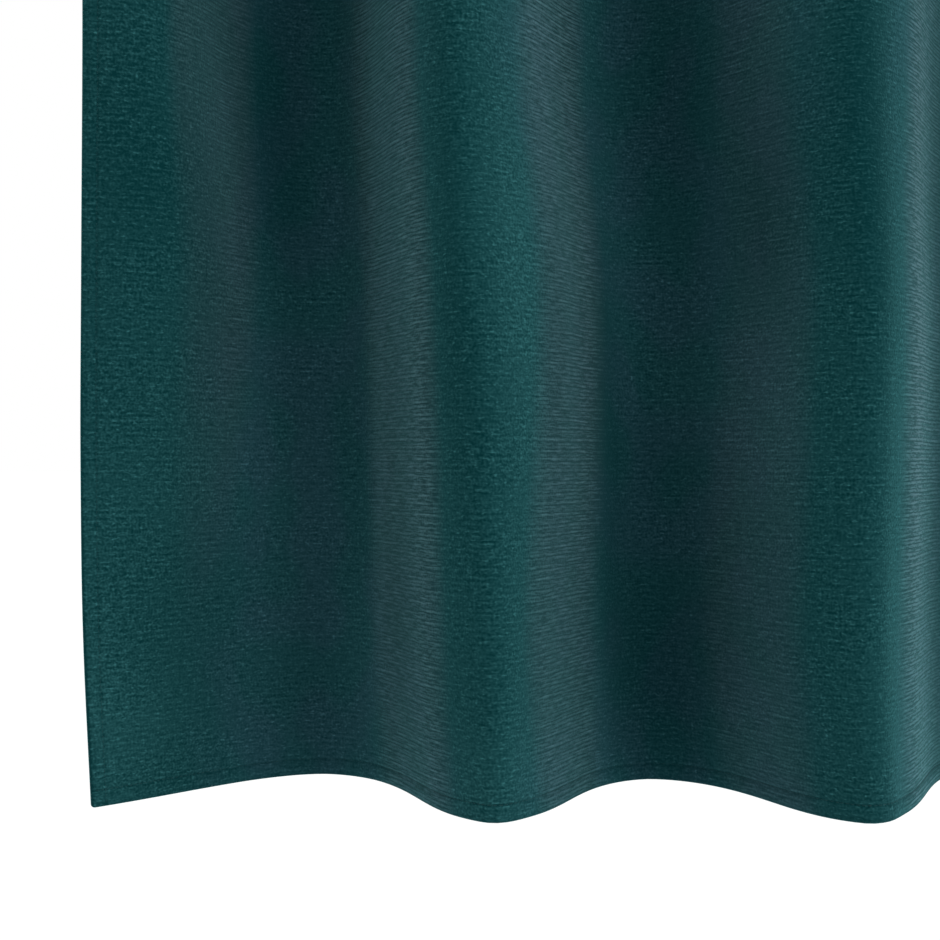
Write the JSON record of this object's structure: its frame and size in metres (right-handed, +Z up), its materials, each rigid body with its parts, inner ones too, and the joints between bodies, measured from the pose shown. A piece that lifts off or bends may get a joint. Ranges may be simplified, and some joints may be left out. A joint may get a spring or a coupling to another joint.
{
  "type": "velvet drape panel",
  "caption": "Hanging velvet window drape, a single hemmed panel that falls from its top edge in deep, soft, slightly uneven wave folds.",
  "frame": {"origin": "middle of the top edge, half way through the depth of the folds", "axes": "+Z up along the drop, +X to the right across the hung width, front towards -Y"},
  "size_m": [0.9404, 0.1551, 2.1301],
  "materials": {
    "velvet": "dark teal ribbed velvet with a soft pale sheen on the fold sides"
  },
  "bodies": {
    "root": {"drape_panel": "velvet"}
  },
  "joints": []
}
